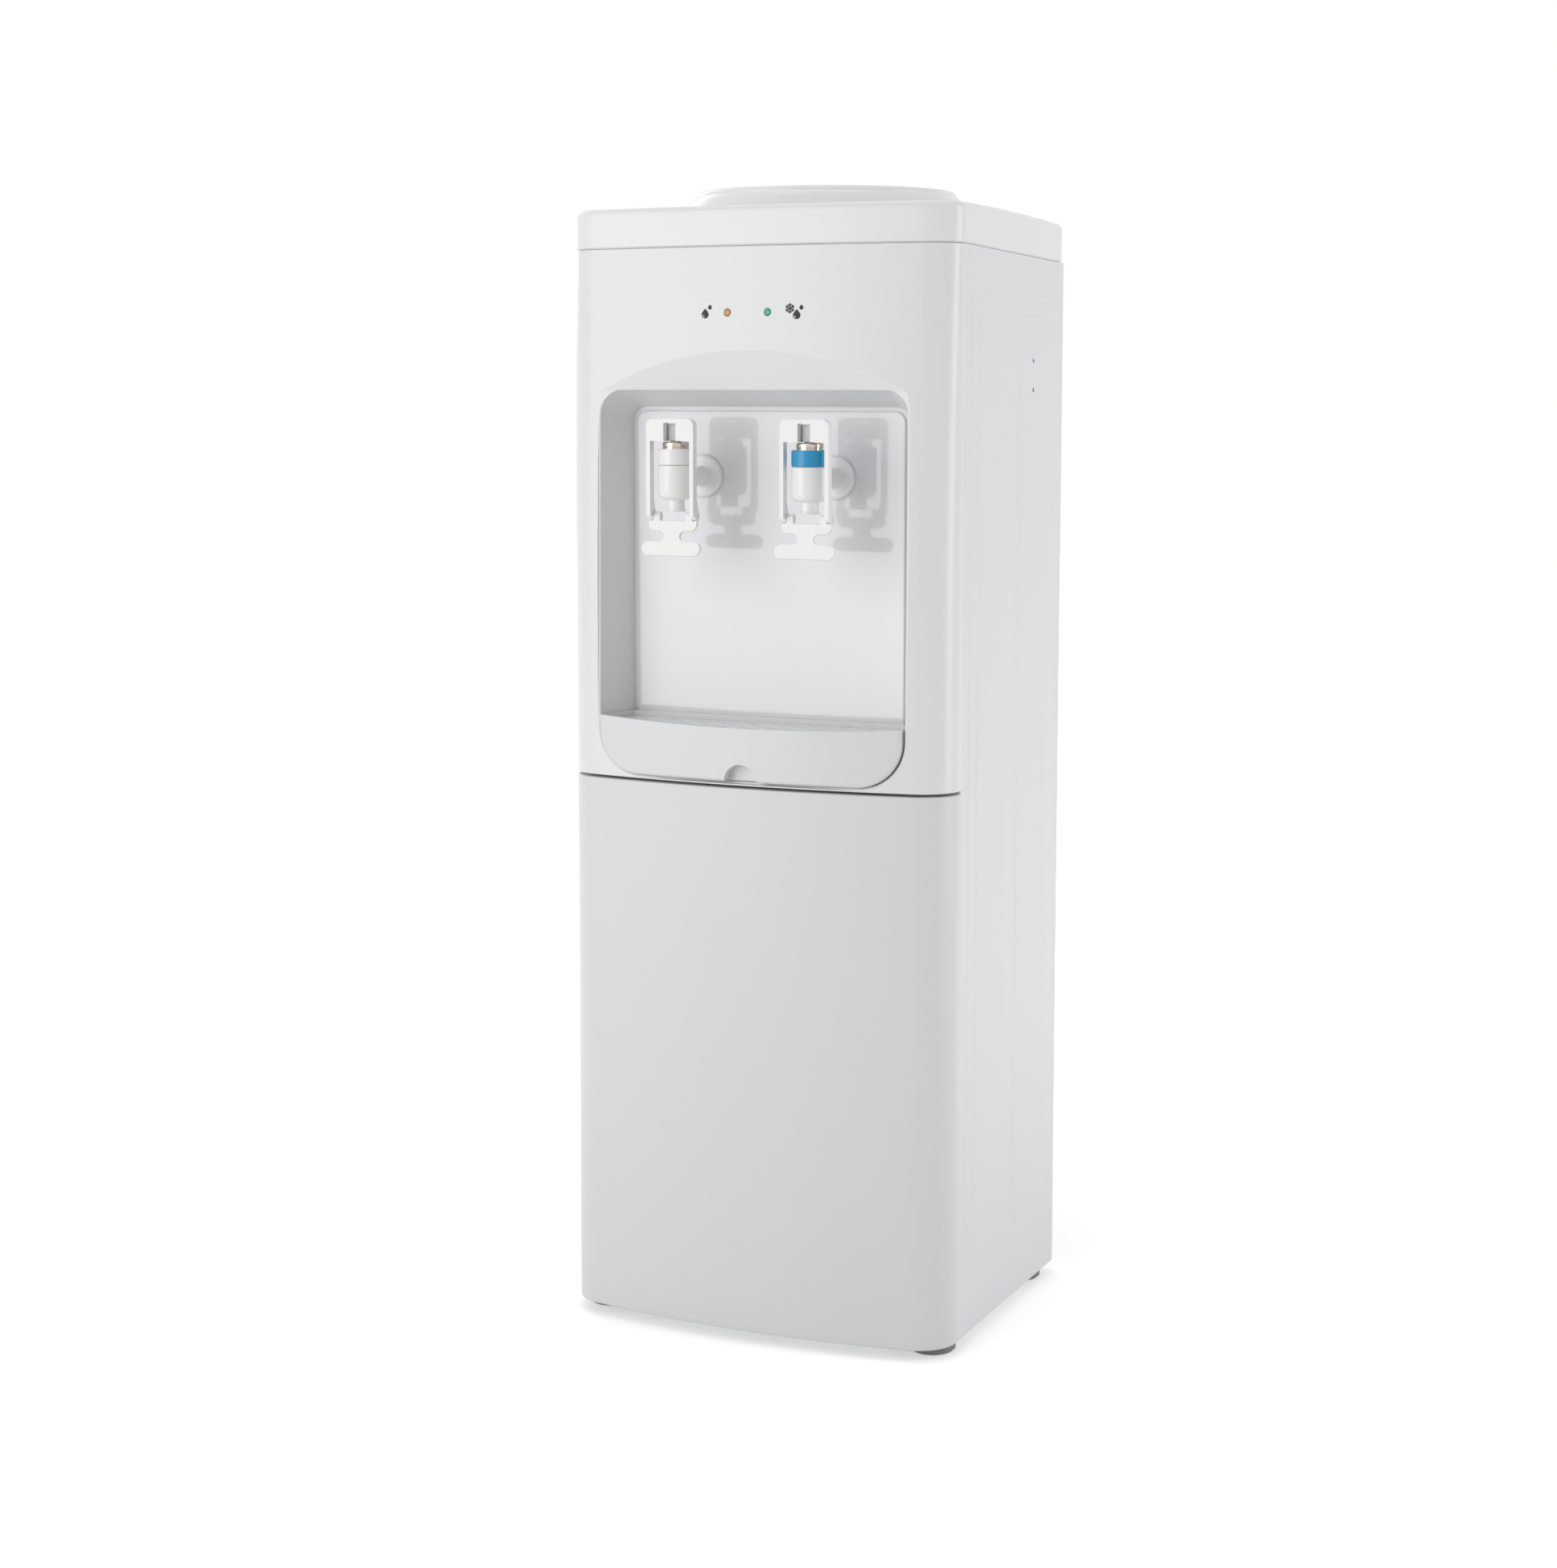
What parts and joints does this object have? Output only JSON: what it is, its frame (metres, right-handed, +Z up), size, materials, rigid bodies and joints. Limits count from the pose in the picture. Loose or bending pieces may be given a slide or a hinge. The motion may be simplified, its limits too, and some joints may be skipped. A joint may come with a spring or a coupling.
{
  "type": "water dispenser",
  "caption": "Free-standing white bottle-top water dispenser with a bowed front, a tap alcove with lever taps over a drip tray, and a chilled tank cooled from the back.",
  "frame": {"origin": "on the floor, in the middle of the box that holds the whole dispenser", "axes": "+Z up, the taps face -Y, +X is to the right as seen from the front"},
  "size_m": [0.302, 0.2946, 0.8321],
  "materials": {
    "front_plastic": "glossy white moulding",
    "cover_plastic": "satin white moulding",
    "alcove_plastic": "polished white moulding",
    "lower_plastic": "satin light grey moulding",
    "painted_steel": "satin powder coat",
    "galvanised_steel": "galvanised",
    "stainless_steel": "brushed stainless",
    "black_steel": "black enamel",
    "copper": "drawn copper",
    "tap_plastic": "glossy white moulding",
    "ring_white": "glossy white",
    "ring_blue": "glossy blue",
    "nickel": "bright plated",
    "stem_grey": "satin grey",
    "silicone": "milky silicone",
    "rubber": "black rubber",
    "foot_plastic": "dark grey moulding",
    "foam": "white foam",
    "circuit_board": "green board",
    "amber_lens": "amber lens",
    "green_lens": "green lens",
    "black_plastic": "satin black moulding"
  },
  "bodies": {
    "cabinet": {"upper_front_panel": "front_plastic", "top_cover": "cover_plastic", "tap_wall": "alcove_plastic", "lower_front_panel": "lower_plastic", "left_side_sheet": "painted_steel", "right_side_sheet": "painted_steel", "back_panel": "painted_steel", "base_plate": "galvanised_steel", "tank_shelf": "galvanised_steel", "thermostat": "galvanised_steel", "water_tank": "stainless_steel", "ambient_tap_spring": "stainless_steel", "cold_tap_spring": "stainless_steel", "compressor": "black_steel", "condenser_coil": "black_steel", "condenser_wires": "black_steel", "evaporator_coil": "copper", "suction_tube": "copper", "filter_drier": "copper", "ambient_tap_body": "tap_plastic", "cold_tap_body": "tap_plastic", "tank_baffle": "tap_plastic", "drain_pipe": "tap_plastic", "ambient_tap_ring": "ring_white", "cold_tap_ring": "ring_blue", "ambient_bonnet_cap": "nickel", "cold_bonnet_cap": "nickel", "ambient_hose": "silicone", "cold_hose": "silicone", "rear_grommet": "rubber", "left_grommet": "rubber", "right_grommet": "rubber", "front_left_foot": "foot_plastic", "front_right_foot": "foot_plastic", "rear_left_foot": "foot_plastic", "rear_right_foot": "foot_plastic", "front_insulation": "foam", "rear_insulation": "foam", "indicator_board": "circuit_board", "amber_light": "amber_lens", "green_light": "green_lens", "relay_cover": "black_plastic", "switch_housing": "black_plastic", "cord_gland": "black_plastic"},
    "ambient_stem": {"ambient_tap_stem": "stem_grey", "ambient_tap_seal": "silicone", "ambient_lever_pin": "stainless_steel"},
    "ambient_lever": {"ambient_tap_lever": "tap_plastic"},
    "ambient_paddle": {"ambient_push_paddle": "tap_plastic"},
    "cold_stem": {"cold_tap_stem": "stem_grey", "cold_tap_seal": "silicone", "cold_lever_pin": "stainless_steel"},
    "cold_lever": {"cold_tap_lever": "tap_plastic"},
    "cold_paddle": {"cold_push_paddle": "tap_plastic"},
    "tray": {"drip_tray": "front_plastic"},
    "grille": {"drip_grille": "front_plastic"},
    "seat": {"bottle_seat": "tap_plastic"},
    "rocker": {"switch_rocker": "black_plastic"},
    "knob": {"thermostat_knob": "black_plastic"},
    "cap": {"drain_cap": "rubber"}
  },
  "joints": [
    {"name": "ambient_stem_slide", "type": "slide", "parent": "cabinet", "child": "ambient_stem", "axis": [0, 0, 1], "range_m": [0, 0.0026], "deforming": ["ambient_tap_spring"]},
    {"name": "ambient_lever_hinge", "type": "hinge", "parent": "ambient_stem", "child": "ambient_lever", "pos_m": [-0.0518, -0.1344, 0.658], "axis": [1, 0, 0], "range_deg": [0, 12], "stiffness_Nm_per_rad": 1},
    {"name": "ambient_paddle_fold", "type": "hinge", "parent": "ambient_lever", "child": "ambient_paddle", "pos_m": [-0.0518, -0.1378, 0.5985], "axis": [-1, 0, 0], "range_deg": [0, 55]},
    {"name": "cold_stem_slide", "type": "slide", "parent": "cabinet", "child": "cold_stem", "axis": [0, 0, 1], "range_m": [0, 0.0026], "deforming": ["cold_tap_spring"]},
    {"name": "cold_lever_hinge", "type": "hinge", "parent": "cold_stem", "child": "cold_lever", "pos_m": [0.0518, -0.1344, 0.658], "axis": [1, 0, 0], "range_deg": [0, 12], "stiffness_Nm_per_rad": 1},
    {"name": "cold_paddle_fold", "type": "hinge", "parent": "cold_lever", "child": "cold_paddle", "pos_m": [0.0518, -0.1378, 0.5985], "axis": [-1, 0, 0], "range_deg": [0, 55]},
    {"name": "tray_pull", "type": "slide", "parent": "cabinet", "child": "tray", "axis": [0, -1, 0], "range_m": [0, 0.055]},
    {"name": "grille_lift", "type": "slide", "parent": "tray", "child": "grille", "axis": [0, 0, 1], "range_m": [0, 0.06]},
    {"name": "seat_lift", "type": "slide", "parent": "cabinet", "child": "seat", "axis": [0, 0, 1], "range_m": [0, 0.08]},
    {"name": "switch_rock", "type": "hinge", "parent": "cabinet", "child": "rocker", "pos_m": [-0.122, 0.1176, 0.723], "axis": [1, 0, 0], "range_deg": [-16, 0]},
    {"name": "thermostat_turn", "type": "hinge", "parent": "cabinet", "child": "knob", "pos_m": [0.122, 0.1209, 0.723], "axis": [0, 1, 0], "range_deg": [0, 270]},
    {"name": "drain_cap_pull", "type": "slide", "parent": "cabinet", "child": "cap", "axis": [0, 1, 0], "range_m": [0, 0.015]}
  ],
  "couplings": [
    {"joint": "ambient_stem_slide", "follows": "ambient_lever_hinge", "m_per_rad": 0.0124},
    {"joint": "cold_stem_slide", "follows": "cold_lever_hinge", "m_per_rad": 0.0124}
  ]
}
